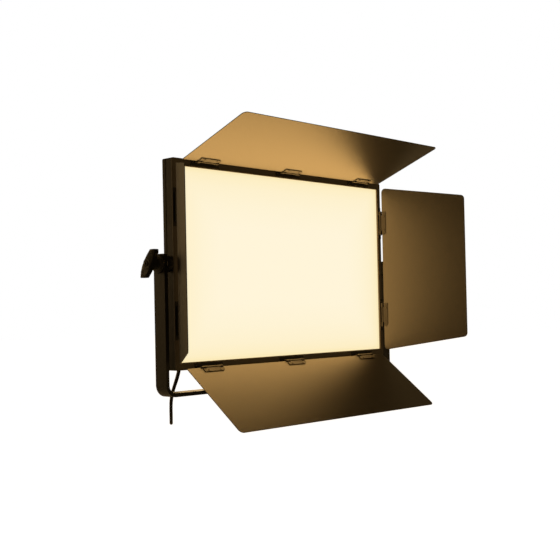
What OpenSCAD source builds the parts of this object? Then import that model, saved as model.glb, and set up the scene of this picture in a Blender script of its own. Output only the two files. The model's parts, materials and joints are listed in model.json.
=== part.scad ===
// Studio LED panel light with four barn doors, on a U yoke with a 16 mm stand receiver.
// Millimetres. X is across the panel, the light faces -Y, Z is up.
// The origin is the mouth of the stand receiver, on its axis.

/* [Panel] */
// outer width of the panel frame
panel_w = 689; // [400:1:1200]
// outer height of the panel frame
panel_h = 431; // [250:1:800]
// depth of the panel frame
rim_depth = 30; // [20:1:60]
// width of the lit window
window_w = 664; // [350:1:1150]
// height of the lit window
window_h = 400; // [200:1:770]
// distance from the tilt axis forward to the front face
front_off = 16; // [5:0.5:40]
// corner radius of the panel frame
panel_r = 4; // [1:0.5:20]
// wall of the frame extrusion
rim_t = 3; // [2:0.5:6]
// thickness of the front bezel plate
bezel_t = 3; // [2:0.5:6]
// LED packages across the board
leds_x = 18; // [6:1:30]
// LED packages up the board
leds_z = 11; // [4:1:20]

/* [Rear casing] */
// width of the rear casing
casing_w = 600; // [300:1:680]
// height of the rear casing
casing_h = 336; // [200:1:420]
// depth of the rear casing behind the frame
casing_d = 48; // [25:1:90]
// sheet thickness of the rear casing
casing_t = 1.5; // [1:0.5:4]
// number of cooling fins on the back
fin_count = 25; // [8:1:41]
// height of a cooling fin above the casing
fin_h = 11; // [5:1:25]

/* [Barn doors] */
// width of the top and bottom doors
long_w = 648; // [300:1:1100]
// reach of the top and bottom doors from their hinge axis
long_len = 192; // [80:1:300]
// height of a side door along its hinge
side_h = 407; // [200:1:700]
// height of a side door along its free edge
side_tip_h = 341; // [150:1:700]
// reach of the side doors from their hinge axis
side_len = 218; // [80:1:300]
// thickness of the door sheet
sheet_t = 1.5; // [1:0.1:3]
// corner radius of the doors
door_r = 10; // [2:1:30]
// opening angle of the top door, 0 is closed
top_open = 111; // [0:1:180]
// opening angle of the bottom door, 0 is closed
bottom_open = 128; // [0:1:180]
// opening angle of the left door, 0 is closed
left_open = 127; // [0:1:150]
// opening angle of the right door, 0 is closed
right_open = 105; // [0:1:150]

/* [Door hinges] */
// length of a hinge between the outer faces of its ears
hinge_len = 58; // [40:1:90]
// width of the leaf on the door
leaf_w = 14; // [8:1:25]
// outer radius of the hinge knuckle
knuckle_r = 3.4; // [2.5:0.1:6]
// radius of the hinge pin
hinge_pin_r = 1.5; // [1:0.1:3]
// distance of the outer long-door hinges from the middle
long_hinge_x = 255; // [100:1:500]
// distance of the side-door hinges from the middle
side_hinge_z = 115; // [50:1:180]
// height of the side-door hinge axis in front of the bezel
side_axis = 5; // [4.5:0.5:10]
// height of the long-door hinge axis in front of the bezel
long_axis = 10; // [9:0.5:20]
// distance of the side-door hinge axis in from the edge of the frame
side_inset = 6; // [2:0.5:8]
// distance of the long-door hinge axis in from the edge of the frame
long_inset = 3; // [2:0.5:8]

/* [Yoke] */
// outer width of the yoke
yoke_w = 740; // [450:1:1300]
// width of the flat bar
bar_w = 33; // [20:1:60]
// thickness of the flat bar
bar_t = 8; // [4:0.5:12]
// distance from the tilt axis to the underside of the crossbar
yoke_drop = 268; // [200:1:500]
// outer radius of the bends
bend_r = 25; // [10:1:80]
// height of the arms above the tilt axis
arm_top = 20; // [16:0.5:40]
// radius of the tilt bolts
bolt_r = 5; // [3:0.5:8]

/* [Tilt clamps] */
// thickness of the clamping handle
lever_t = 12; // [8:0.5:20]
// distance of the handle's mid-plane from the arm
lever_off = 25; // [18:0.5:50]
// radius of the round tension knob
tension_r = 21; // [12:0.5:35]

/* [Stand receiver] */
// radius of the receiver's bore, for a 16 mm spigot
spigot_r = 8.08; // [7.9:0.01:8.3]
// depth of the bore
spigot_depth = 40; // [30:1:60]
// length of the receiver below the crossbar
receiver_len = 52; // [42:1:80]
// outer radius of the receiver
receiver_r = 15; // [12:0.5:25]

/* [Controls] */
// radius of the control knobs
knob_r = 9; // [5:0.5:15]
// height of the control knobs
knob_h = 12; // [6:0.5:20]
// travel of a push button
button_travel = 1.2; // [0.5:0.1:3]
// angle of the rocker switch at rest
rocker_lean = 9; // [4:0.5:14]

/* [Power lead] */
// diameter of the lead
cord_d = 7; // [5:0.5:10]
// turns in the stored coil
coil_turns = 5.5; // [1.5:1:11.5]
// mean diameter of the stored coil
coil_mid_d = 80; // [60:1:120]

/* [Hidden] */
$fn = 48;
fit = 0.05;
gap = 0.4;
pivot_z = yoke_drop + receiver_len;
front_y = -front_off;
rear_y = front_y + rim_depth;
casing_y = rear_y + casing_d;
half_w = panel_w / 2;
half_h = panel_h / 2;
arm_x = yoke_w / 2;
arm_in = arm_x - bar_t;
bar_half = bar_w / 2;
arm_r = 6;
washer_t = 2;
boss_r = 16.5;
boss_len = arm_in - half_w - washer_t;
lever_hub_r = 11;
disc_r = 19;
disc_t = 4;
ear_len = 10;
bracket_len = hinge_len + 20;
bracket_w = 11;
bracket_t = 1.5;
bracket_screw_r = 1.2;
leaf_t = 1.5;
leaf_len = hinge_len - 2 * ear_len - 0.8;
sheet_gap = 4;
root_gap = 0.5;
rivet_r = 2.2;
rivet_pitch = 34;
rivet_shank_r = 1.4;
hinge_xs = [-long_hinge_x, 0, long_hinge_x];
hinge_zs = [-side_hinge_z, side_hinge_z];

// outline of the clamping handle seen along X, as Y and Z from the tilt axis
lever_outline = [
    [-9, 28], [0, 17], [9, 5.5], [15.5, -3.5], [19.5, -14], [21.5, -28],
    [7.6, -28], [0, -18.5], [-6, -10.5], [-23.3, 20.5], [-23.3, 28]
];

// control panel on the back, as seen from behind it is at the right
panel_x = -212;
panel_z = 60;
fascia_w = 150;
fascia_h = 116;
fascia_t = 2;
fascia_y = casing_y + fascia_t;
knob_zs = [panel_z + 30, panel_z - 8];
knob_x = panel_x - 52;
button_xs = [panel_x - 16, panel_x + 12, panel_x + 40];
button_z = panel_z - 6;
button_r = 5.5;
button_h = 3.2;
display_w = 62;
display_h = 30;
display_x = panel_x + 14;
display_z = panel_z + 30;
rocker_x = panel_x + 46;
rocker_z = panel_z - 38;
rocker_w = 19;
rocker_h = 13;
rocker_pin_r = 1.2;
rocker_pin_half = 8.4;
socket_xs = [panel_x - 50, panel_x - 16];
socket_z = panel_z - 38;
socket_r = 11.5;

// screws that hold the rear casing
casing_screw_xs = [-275, 0, 275];
casing_screw_z = 152;
casing_screw_r = 1.5;

// grab handle on the back
grip_x = 60;
grip_z = 128;
grip_r = 8;
grip_half = 62;
grip_off = 42;
foot_t = 4.1;
foot_hole_x = 12.5;
foot_screw_r = 1.4;

// power lead: exit from the casing, and the stored coil on the back
gland_x = -277;
gland_y = 50;
gland_z = -casing_h / 2;
gland_r = 5.4;
relief_len = 35;
coil_x = -205;
coil_z = -92;
coil_y = casing_y + 14;
coil_columns = ceil(coil_turns / 2);
coil_half = coil_columns * cord_d / 2;
coil_in = coil_mid_d / 2 - cord_d;
coil_out = coil_mid_d / 2 + cord_d;
hook_z = coil_z + coil_in - 5.2;
plug_x = coil_x + coil_mid_d / 2 + cord_d / 2;
plug_z = coil_z - 62;

// centre line of the lead from the gland, below the yoke and up to the coil
lead_route = [
    [-277, 50, -203], [-277.3, 50, -213], [-280.3, 50, -226], [-286, 50, -240],
    [-292.8, 50, -254], [-298.6, 50, -269], [-302, 50, -285], [-302.8, 50, -300.5],
    [-300.1, 53.1, -316], [-292.8, 61.8, -327.3], [-282.7, 73.5, -331.4], [-272.7, 85.3, -327.3],
    [-265.3, 93.9, -316], [-262.6, 97, -300.5], [-261.4, 97.2, -285], [-257.3, 97, -269],
    [-251.1, 96.6, -253.5], [-245, 96, -238], [-240.4, 95, -222], [-238, 93.4, -205],
    [-237.8, 91.2, -187], [-239.8, 88.4, -168], [-242.9, 85, -148], [-246, 81.2, -129],
    [-248, 77.6, -110], [-248.5, 76, -92]
];
// centre line of the end that carries the plug
tail_route = [
    [-161.5, 76, -92], [-161.5, 76, -104], [-161.5, 76, -117], [-161.5, 76, -130]
];

black = [0.05, 0.045, 0.04];
dark = [0.09, 0.08, 0.07];
steel = [0.55, 0.55, 0.56];

// ---------- helpers ----------

module at_pivot() {
    translate([0, 0, pivot_z]) children();
}

// a flat plate in the XZ plane from y0 to y1, with round corners
module plate(w, h, y0, y1, r) {
    translate([0, y1, 0]) rotate([90, 0, 0]) linear_extrude(y1 - y0) round_rect(w, h, r);
}

module round_rect(w, h, r) {
    offset(r) square([w - 2 * r, h - 2 * r], center = true);
}

module ring_plate(w, h, wall, y0, y1, r) {
    translate([0, y1, 0]) rotate([90, 0, 0]) linear_extrude(y1 - y0) difference() {
        round_rect(w, h, r);
        square([w - 2 * wall, h - 2 * wall], center = true);
    }
}

// a cylinder along X from x0 to x1
module rod_x(r, x0, x1) {
    translate([x0, 0, 0]) rotate([0, 90, 0]) cylinder(h = x1 - x0, r = r);
}

// a cylinder along Y from y0 to y1
module rod_y(r, y0, y1) {
    translate([0, y1, 0]) rotate([90, 0, 0]) cylinder(h = y1 - y0, r = r);
}

// a screw with a domed head of radius r, its head standing on y and facing +Y
module pan_screw_y(r, y, shank_r, shank) {
    translate([0, y, 0]) rotate([-90, 0, 0]) difference() {
        union() {
            cylinder(h = 0.55 * r, r1 = r, r2 = 0.75 * r);
            translate([0, 0, -shank]) cylinder(h = shank + 0.1, r = shank_r);
        }
        translate([0, 0, 0.25 * r]) cylinder(h = r, r = 0.4 * r, $fn = 6);
    }
}

// sweep of a round tube along a list of points
function unit(v) = v / norm(v);
function tangent(p, i) = unit(p[min(i + 1, len(p) - 1)] - p[max(i - 1, 0)]);
function side_of(t) = unit(cross(t, [0.65, 0.76, 0.02]));
function ring_at(p, i, r, n) = let (
    t = tangent(p, i),
    a = side_of(t),
    b = cross(t, a)
) [for (k = [0 : n - 1]) p[i] + r * cos(360 * k / n) * a + r * sin(360 * k / n) * b];
// the route with extra points on a smooth curve through the given ones
function spline_point(p, i, t) = let (
    a = p[max(i - 1, 0)],
    b = p[i],
    c = p[i + 1],
    d = p[min(i + 2, len(p) - 1)]
) 0.5 * (2 * b + (c - a) * t + (2 * a - 5 * b + 4 * c - d) * t * t
    + (3 * b - a - 3 * c + d) * t * t * t);
function smooth(p, n) = concat(
    [for (i = [0 : len(p) - 2], k = [0 : n - 1]) spline_point(p, i, k / n)],
    [p[len(p) - 1]]
);

module tube(route, r, n = 10) {
    count = len(route);
    points = [for (i = [0 : count - 1]) each ring_at(route, i, r, n)];
    sides = [
        for (i = [0 : count - 2], k = [0 : n - 1])
            [i * n + k, i * n + (k + 1) % n, (i + 1) * n + (k + 1) % n, (i + 1) * n + k]
    ];
    polyhedron(
        points,
        concat(
            [[for (k = [n - 1 : -1 : 0]) k]],
            sides,
            [[for (k = [0 : n - 1]) (count - 1) * n + k]]
        ),
        convexity = 6
    );
}

// ---------- yoke ----------

// Everything of the yoke that exists on both sides is drawn for +X and mirrored for -X.
module both_sides() {
    for (s = [-1, 1]) scale([s, 1, 1]) children();
}

module yoke_bend() {
    translate([arm_x - bend_r, 0, bend_r - yoke_drop]) rotate([90, 0, 0]) rotate([0, 0, -90])
        rotate_extrude(angle = 90) translate([bend_r - bar_t, -bar_half]) square([bar_t, bar_w]);
}

module yoke_arm() {
    arm_len = yoke_drop - bend_r;
    translate([arm_in, -bar_half, -arm_len]) cube([bar_t, bar_w, arm_len]);
    translate([arm_in, 0, 0]) rotate([90, 0, 90]) linear_extrude(bar_t) round_rect(bar_w, 2 * arm_top, arm_r);
}

module yoke_bar() {
    cross_half = arm_x - bend_r;
    color(dark) at_pivot() difference() {
        union() {
            translate([-cross_half, -bar_half, -yoke_drop]) cube([2 * cross_half, bar_w, bar_t]);
            both_sides() {
                yoke_bend();
                yoke_arm();
            }
        }
        both_sides() rod_x(bolt_r + fit, arm_in - 1, arm_x + 1);
        translate([0, 0, -yoke_drop - 1]) cylinder(h = bar_t + 2, r = bolt_r + fit);
    }
}

module receiver() {
    color(dark) difference() {
        union() {
            cylinder(h = receiver_len, r = receiver_r);
            translate([0, 0, receiver_len - 4]) cylinder(h = 4, r = receiver_r + 1);
            translate([0, 0, 18]) rod_y(9, receiver_r - 4, receiver_r + 7);
        }
        translate([0, 0, -1]) cylinder(h = spigot_depth + 1, r = spigot_r);
        translate([0, 0, spigot_depth - 0.1]) cylinder(h = receiver_len, r = bolt_r + fit);
        translate([0, 0, 18]) rod_y(4 + fit, spigot_r - 2, receiver_r + 8);
    }
}

module receiver_bolt() {
    color(steel) {
        difference() {
            translate([0, 0, pivot_z - yoke_drop + bar_t]) cylinder(h = 6, r = 9, $fn = 6);
            translate([0, 0, pivot_z - yoke_drop + bar_t + 4]) cylinder(h = 4, r = 4, $fn = 6);
        }
        translate([0, 0, spigot_depth + 1]) cylinder(h = receiver_len - spigot_depth + bar_t, r = bolt_r);
    }
}

module lock_screw() {
    color(steel) translate([0, 0, 18]) rod_y(4, spigot_r + 0.3, receiver_r + 14);
}

module lock_knob() {
    color(black) translate([0, 0, 18]) difference() {
        union() {
            rod_y(9, receiver_r + 7 + gap, receiver_r + 12);
            rod_y(15, receiver_r + 11, receiver_r + 25);
            for (k = [0 : 5]) {
                rotate([0, 60 * k, 0]) translate([15, 0, 0]) rod_y(4, receiver_r + 11, receiver_r + 25);
            }
        }
        rod_y(4, receiver_r, receiver_r + 14);
    }
}

// ---------- tilt clamps ----------

module lever_disc() {
    color(black) at_pivot() difference() {
        union() {
            rod_x(disc_r, -arm_x - gap - disc_t, -arm_x - gap);
            rod_x(lever_hub_r, -arm_x - lever_off + 5, -arm_x - gap - disc_t + 0.1);
        }
        rod_x(bolt_r, -arm_x - lever_off, -arm_x);
    }
}

module lever_handle() {
    color(black) at_pivot() difference() {
        translate([-arm_x - lever_off - lever_t / 2, 0, 0]) rotate([90, 0, 90]) linear_extrude(lever_t)
            offset(1) offset(-1) polygon(lever_outline);
        rod_x(lever_hub_r + 0.05, -arm_x - lever_off + 5, -arm_x);
        rod_x(bolt_r, -arm_x - lever_off + 2, -arm_x);
    }
}

module lever_bolt() {
    color(steel) at_pivot() rod_x(bolt_r, -arm_x - lever_off + 2, -half_w + 2);
}

module tension_knob() {
    color(black) at_pivot() difference() {
        union() {
            rod_x(12, arm_x + gap, arm_x + 8);
            rod_x(tension_r - 3, arm_x + 7.9, arm_x + 22);
            for (k = [0 : 7]) {
                rotate([45 * k, 0, 0]) translate([0, tension_r - 3, 0]) rod_x(4, arm_x + 8, arm_x + 22);
            }
        }
        rod_x(bolt_r, arm_x - 1, arm_x + 14);
    }
}

module tension_bolt() {
    color(steel) at_pivot() rod_x(bolt_r, half_w - 2, arm_x + 14);
}

// ---------- panel ----------

module rim() {
    color(dark) at_pivot() difference() {
        ring_plate(panel_w, panel_h, rim_t, front_y + bezel_t, rear_y, panel_r);
        both_sides() {
            rod_x(bolt_r + fit, half_w - rim_t - 1, half_w + 1);
            // shallow groove along each side
            translate([half_w, front_y + 20, 0]) cube([1.6, 3, panel_h + 1], center = true);
        }
    }
}

module bezel() {
    color(dark) at_pivot() difference() {
        plate(panel_w, panel_h, front_y, front_y + bezel_t, panel_r);
        plate(window_w, window_h, front_y - 1, front_y + bezel_t + 1, 2);
    }
}

module diffuser() {
    color([1, 0.95, 0.82]) at_pivot()
        plate(panel_w - 2 * rim_t - 1, panel_h - 2 * rim_t - 1, front_y + bezel_t, front_y + bezel_t + 3, 1);
}

module reflector() {
    color([0.9, 0.9, 0.88]) at_pivot()
        ring_plate(panel_w - 2 * rim_t - 2, panel_h - 2 * rim_t - 2, 1, front_y + bezel_t + 3, rear_y - 4, 1);
}

module led_board() {
    color([0.85, 0.85, 0.8]) at_pivot()
        plate(panel_w - 2 * rim_t - 4, panel_h - 2 * rim_t - 4, rear_y - 4, rear_y - 2, 1);
}

module led_chips() {
    step_x = window_w / leds_x;
    step_z = window_h / leds_z;
    color([0.95, 0.85, 0.4]) at_pivot()
        for (i = [0 : leds_x - 1], k = [0 : leds_z - 1]) {
            translate([(i - (leds_x - 1) / 2) * step_x, rear_y - 4.4, (k - (leds_z - 1) / 2) * step_z])
                cube([5, 0.8, 5], center = true);
        }
}

module back_plate() {
    color(dark) at_pivot()
        plate(panel_w - 2 * rim_t, panel_h - 2 * rim_t, rear_y - 2, rear_y, 1);
}

module vent_row(w, h, count, pitch) {
    for (i = [0 : count - 1]) translate([(i - (count - 1) / 2) * pitch, 0, 0]) cube([w, 8, h], center = true);
}

module casing() {
    color(dark) at_pivot() difference() {
        hull() {
            plate(casing_w, casing_h, rear_y, casing_y - 10, 12);
            plate(casing_w - 20, casing_h - 20, rear_y, casing_y, 8);
        }
        plate(casing_w - 2 * casing_t, casing_h - 2 * casing_t, rear_y - 1, casing_y - 12, 10);
        plate(casing_w - 30, casing_h - 30, rear_y - 1, casing_y - casing_t, 6);
        // vents in the back, above and below the fins
        for (s = [-1, 1]) {
            translate([95, casing_y, s * 142]) vent_row(4, 12, 36, 8);
        }
        for (x = casing_screw_xs, s = [-1, 1]) {
            translate([x, 0, s * casing_screw_z]) rod_y(casing_screw_r + fit, casing_y - 5, casing_y + 1);
        }
        // hole behind the rocker switch
        translate([rocker_x, casing_y, rocker_z]) cube([rocker_w, 8, rocker_h + 2.4], center = true);
        // hole for the lead
        translate([gland_x, gland_y, gland_z - 1]) cylinder(h = 14, r = gland_r + fit);
    }
}

module heat_sink() {
    step = 290 / (fin_count - 1);
    color(dark) at_pivot() {
        translate([95, casing_y + 1, 0]) cube([304, 2, 200], center = true);
        for (i = [0 : fin_count - 1]) {
            translate([95 + (i - (fin_count - 1) / 2) * step, casing_y + 1.9 + fin_h / 2, 0])
                cube([1.8, fin_h, 200], center = true);
        }
    }
}

module casing_screws() {
    color(steel) at_pivot()
        for (x = casing_screw_xs, s = [-1, 1]) {
            translate([x, 0, s * casing_screw_z]) pan_screw_y(3.4, casing_y, casing_screw_r, casing_t);
        }
}

module control_panel() {
    color(black) at_pivot() difference() {
        translate([panel_x, 0, panel_z]) plate(fascia_w, fascia_h, casing_y, fascia_y, 5);
        for (z = knob_zs) translate([knob_x, 0, z]) rod_y(3 + fit, casing_y - 1, fascia_y + 1);
        for (x = button_xs) translate([x, 0, button_z]) rod_y(button_r + 0.2, casing_y - 1, fascia_y + 1);
        translate([rocker_x, casing_y + 0.8, rocker_z]) cube([rocker_w + 6, 6, rocker_h + 8], center = true);
        for (x = socket_xs) translate([x, 0, socket_z]) rod_y(socket_r, casing_y - 1, fascia_y + 1);
    }
}

module display() {
    color([0.02, 0.03, 0.04]) at_pivot() translate([display_x, 0, display_z])
        plate(display_w, display_h, fascia_y, fascia_y + 1, 2);
}

module switch_bezel() {
    color(black) at_pivot() translate([rocker_x, 0, rocker_z]) difference() {
        union() {
            plate(rocker_w + 6, rocker_h + 8, casing_y, fascia_y, 1);
            plate(rocker_w + 9, rocker_h + 11, fascia_y, fascia_y + 1.5, 2);
        }
        translate([0, fascia_y, 0]) cube([rocker_w + 1, 20, rocker_h + 2.4], center = true);
        translate([0, fascia_y + 0.2, 0])
            cylinder(h = 2 * rocker_pin_half + 0.2, r = rocker_pin_r + fit, center = true);
    }
}

module data_sockets() {
    color(steel) at_pivot()
        for (x = socket_xs) translate([x, 0, socket_z]) {
            difference() {
                union() {
                    rod_y(socket_r, casing_y, fascia_y);
                    rod_y(socket_r + 1.6, fascia_y, fascia_y + 1.5);
                }
                rod_y(9.5, casing_y + 1, fascia_y + 3);
            }
        }
}

module handle_foot() {
    difference() {
        plate(34, 24, casing_y, casing_y + foot_t, 8);
        for (t = [-1, 1]) {
            translate([t * foot_hole_x, 0, 0]) rod_y(foot_screw_r + fit, casing_y - 1, casing_y + foot_t + 1);
        }
    }
}

module handle() {
    color(black) at_pivot() translate([grip_x, 0, grip_z]) {
        for (s = [-1, 1]) {
            translate([s * grip_half, 0, 0]) rod_y(grip_r, casing_y + foot_t - 0.1, casing_y + grip_off - 2);
            translate([s * grip_half, 0, 0]) handle_foot();
            translate([s * grip_half, casing_y + grip_off - 2, 0]) sphere(r = grip_r);
        }
        translate([0, casing_y + grip_off - 2, 0]) rod_x(grip_r, -grip_half, grip_half);
    }
}

module handle_screws() {
    color(steel) at_pivot() for (s = [-1, 1], t = [-1, 1]) {
        translate([grip_x + s * grip_half + t * foot_hole_x, 0, grip_z])
            pan_screw_y(2.6, casing_y + foot_t, foot_screw_r, foot_t);
    }
}

module pivot_bosses() {
    color(dark) at_pivot() both_sides() difference() {
        rod_x(boss_r, half_w, half_w + boss_len);
        rod_x(bolt_r + fit, half_w - 1, half_w + boss_len + 1);
    }
}

module friction_washers() {
    color([0.8, 0.8, 0.76]) at_pivot() both_sides() difference() {
        rod_x(boss_r - 1, half_w + boss_len, arm_in - 0.1);
        rod_x(bolt_r + fit, half_w, arm_x);
    }
}

// ---------- door hinges ----------

// Places its child at one hinge: the child has its axis along X, the front face at y = 0
// and the hinge axis at z = 0, with the lit window towards -Z.
module at_long(s, x) {
    translate([x, front_y, s * (half_h - long_inset)]) scale([1, 1, s]) children();
}

module at_side(s, z) {
    translate([s * (half_w - side_inset), front_y, z]) rotate([0, 90, 0]) scale([1, 1, s]) children();
}

// the plate of a bracket ends 1 mm short of the edge of the frame
function plate_mid(inset) = inset - 1 - bracket_w / 2;

module bracket(axis, inset) {
    difference() {
        union() {
            translate([-bracket_len / 2, -bracket_t, plate_mid(inset) - bracket_w / 2])
                cube([bracket_len, bracket_t, bracket_w]);
            both_sides() {
                translate([hinge_len / 2 - ear_len, -axis, -knuckle_r]) cube([ear_len, axis, knuckle_r]);
                translate([0, -axis, 0]) rod_x(knuckle_r, hinge_len / 2 - ear_len, hinge_len / 2);
            }
        }
        translate([0, -axis, 0]) rod_x(hinge_pin_r + fit, -hinge_len, hinge_len);
        for (s = [-1, 1]) {
            translate([s * (bracket_len / 2 - 5), 0, plate_mid(inset)]) rod_y(bracket_screw_r + fit, -3, 1);
        }
    }
}

module bracket_pin(axis) {
    translate([0, -axis, 0]) {
        rod_x(hinge_pin_r, -hinge_len / 2 - 0.6, hinge_len / 2 + 0.6);
        both_sides() rod_x(2.3, hinge_len / 2, hinge_len / 2 + 1.2);
    }
}

module bracket_screw_pair(inset) {
    for (s = [-1, 1]) translate([s * (bracket_len / 2 - 5), 0, plate_mid(inset)])
        mirror([0, 1, 0]) pan_screw_y(2.1, bracket_t, bracket_screw_r, bracket_t);
}

module hinge_brackets() {
    color(dark) at_pivot() {
        for (s = [-1, 1], x = hinge_xs) at_long(s, x) bracket(long_axis, long_inset);
        for (s = [-1, 1], z = hinge_zs) at_side(s, z) bracket(side_axis, side_inset);
    }
}

module hinge_pins() {
    color(steel) at_pivot() {
        for (s = [-1, 1], x = hinge_xs) at_long(s, x) bracket_pin(long_axis);
        for (s = [-1, 1], z = hinge_zs) at_side(s, z) bracket_pin(side_axis);
    }
}

module bracket_screws() {
    color(steel) at_pivot() {
        for (s = [-1, 1], x = hinge_xs) at_long(s, x) bracket_screw_pair(long_inset);
        for (s = [-1, 1], z = hinge_zs) at_side(s, z) bracket_screw_pair(side_inset);
    }
}

// ---------- barn doors ----------
// A door is drawn in its own frame: hinge axis along X, the sheet reaching towards -Z when
// closed, its inner face towards +Y. It then turns by its opening angle about the axis.

module open_long(s, angle) {
    translate([0, front_y - long_axis, s * (half_h - long_inset)]) scale([1, 1, s])
        rotate([-angle, 0, 0]) children();
}

module open_side(s, angle) {
    translate([s * (half_w - side_inset), front_y - side_axis, 0]) rotate([0, 90, 0]) scale([1, 1, s])
        rotate([-angle, 0, 0]) children();
}

// half widths at the hinge and at the free edge
module door_sheet(half_a, half_b, reach) {
    translate([0, sheet_t / 2, 0]) rotate([90, 0, 0]) linear_extrude(sheet_t) offset(door_r) offset(-door_r)
        polygon([[-half_a, -sheet_gap], [half_a, -sheet_gap], [half_b, -reach], [-half_b, -reach]]);
}

// the strip along the hinge of a long door: square corners, and a notch for each hinge
module root_strip() {
    strip_h = 2 * door_r + sheet_gap - root_gap;
    difference() {
        translate([-long_w / 2, -sheet_t / 2, -root_gap - strip_h]) cube([long_w, sheet_t, strip_h]);
        along(hinge_xs) translate([-hinge_len / 2 - 2, -sheet_t, -sheet_gap])
            cube([hinge_len + 4, 2 * sheet_t, sheet_gap + 1]);
    }
}

module door_leaf() {
    rotate([90, 0, 0]) translate([0, 0, -sheet_t / 2 - leaf_t]) linear_extrude(leaf_t) polygon([
        [-leaf_len / 2, 0], [leaf_len / 2, 0], [leaf_len / 2, -sheet_gap - 1],
        [hinge_len / 2, -sheet_gap - 1], [hinge_len / 2, -leaf_w + 4], [hinge_len / 2 - 6, -leaf_w],
        [-hinge_len / 2, -leaf_w], [-hinge_len / 2, -sheet_gap - 1], [-leaf_len / 2, -sheet_gap - 1]
    ]);
}

// copies of a child along the hinge axis
module along(places) {
    for (place = places) translate([place, 0, 0]) children();
}

// the two places of a rivet in a leaf
module rivet_places() {
    for (s = [-1, 1]) translate([s * rivet_pitch / 2, 0, -leaf_w + 4]) children();
}

module rivet_holes() {
    rivet_places() rod_y(rivet_shank_r + fit, -sheet_t, sheet_t + leaf_t);
}

module leaf_with_knuckle() {
    difference() {
        union() {
            door_leaf();
            rod_x(knuckle_r, -leaf_len / 2, leaf_len / 2);
        }
        rod_x(hinge_pin_r + fit, -hinge_len, hinge_len);
        rivet_holes();
    }
}

module rivet_pair() {
    rivet_places() {
        rod_y(rivet_shank_r, -sheet_t / 2, sheet_t / 2 + leaf_t);
        rotate([-90, 0, 0]) translate([0, 0, sheet_t / 2 + leaf_t])
            cylinder(h = 0.9, r1 = rivet_r, r2 = rivet_shank_r);
        rotate([90, 0, 0]) translate([0, 0, sheet_t / 2]) cylinder(h = 0.8, r1 = rivet_r, r2 = rivet_shank_r);
    }
}

module long_sheet(s, angle) {
    at_pivot() open_long(s, angle) difference() {
        union() {
            door_sheet(long_w / 2, long_w / 2, long_len);
            root_strip();
        }
        along(hinge_xs) rivet_holes();
    }
}

module side_sheet(s, angle) {
    at_pivot() open_side(s, angle) difference() {
        door_sheet(side_h / 2, side_tip_h / 2, side_len);
        along(hinge_zs) rivet_holes();
    }
}

module top_door() {
    color([0.12, 0.1, 0.08]) long_sheet(1, top_open);
}

module top_leaves() {
    color(dark) at_pivot() open_long(1, top_open) along(hinge_xs) leaf_with_knuckle();
}

module top_rivets() {
    color(steel) at_pivot() open_long(1, top_open) along(hinge_xs) rivet_pair();
}

module bottom_door() {
    color([0.12, 0.1, 0.08]) long_sheet(-1, bottom_open);
}

module bottom_leaves() {
    color(dark) at_pivot() open_long(-1, bottom_open) along(hinge_xs) leaf_with_knuckle();
}

module bottom_rivets() {
    color(steel) at_pivot() open_long(-1, bottom_open) along(hinge_xs) rivet_pair();
}

module left_door() {
    color([0.12, 0.1, 0.08]) side_sheet(-1, left_open);
}

module left_leaves() {
    color(dark) at_pivot() open_side(-1, left_open) along(hinge_zs) leaf_with_knuckle();
}

module left_rivets() {
    color(steel) at_pivot() open_side(-1, left_open) along(hinge_zs) rivet_pair();
}

module right_door() {
    color([0.12, 0.1, 0.08]) side_sheet(1, right_open);
}

module right_leaves() {
    color(dark) at_pivot() open_side(1, right_open) along(hinge_zs) leaf_with_knuckle();
}

module right_rivets() {
    color(steel) at_pivot() open_side(1, right_open) along(hinge_zs) rivet_pair();
}

// ---------- controls ----------

module turn_knob(z) {
    at_pivot() translate([knob_x, 0, z]) {
        rod_y(3, casing_y + 0.3, fascia_y + gap + 0.1);
        difference() {
            union() {
                rod_y(knob_r, fascia_y + gap, fascia_y + knob_h);
                rod_y(knob_r + 1.5, fascia_y + gap, fascia_y + gap + 2.5);
            }
            translate([0, fascia_y + knob_h, knob_r - 2.5]) cube([1.2, 1.6, 5], center = true);
        }
    }
}

module brightness_knob() {
    color(black) turn_knob(knob_zs[0]);
}

module colour_knob() {
    color(black) turn_knob(knob_zs[1]);
}

module push_button(x) {
    at_pivot() translate([x, 0, button_z])
        rod_y(button_r, casing_y + button_travel + 0.3, fascia_y + button_h);
}

module button_minus() {
    color(black) push_button(button_xs[0]);
}

module button_plus() {
    color(black) push_button(button_xs[1]);
}

module button_menu() {
    color(black) push_button(button_xs[2]);
}

module power_rocker() {
    color(black) at_pivot() translate([rocker_x, fascia_y + 0.2, rocker_z]) rotate([0, 0, rocker_lean])
        difference() {
            union() {
                translate([0, 0.4, 0]) cube([rocker_w - 1, 4, rocker_h], center = true);
                cylinder(h = 2 * rocker_pin_half, r = rocker_pin_r, center = true);
            }
            translate([0, 14.4, 0]) cylinder(h = 30, r = 12.6, center = true);
        }
}

// ---------- power lead ----------

module cord_hook() {
    color(dark) at_pivot() translate([coil_x, 0, hook_z]) {
        plate(26, 30, casing_y, casing_y + 2, 4);
        rod_y(5, casing_y + 1.9, casing_y + 32);
        translate([0, casing_y + 30, 5]) cube([10, 4, 20], center = true);
    }
}

module strain_relief() {
    color(black) at_pivot() translate([gland_x, gland_y, gland_z]) {
        translate([0, 0, -4]) cylinder(h = 4, r = 9);
        translate([0, 0, -relief_len]) cylinder(h = relief_len - 3, r1 = cord_d / 2 + 0.8, r2 = 7);
        translate([0, 0, -3.9]) cylinder(h = 12, r = gland_r);
    }
}

module power_cord() {
    color(black) at_pivot() tube(smooth(lead_route, 2), cord_d / 2);
}

module cord_coil() {
    color(black) at_pivot() translate([coil_x, coil_y, coil_z]) rotate([90, 0, 0]) rotate_extrude()
        translate([coil_in, -coil_half]) square([coil_out - coil_in, 2 * coil_half]);
}

module cord_tail() {
    color(black) at_pivot() tube(smooth(tail_route, 3), cord_d / 2);
}

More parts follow.
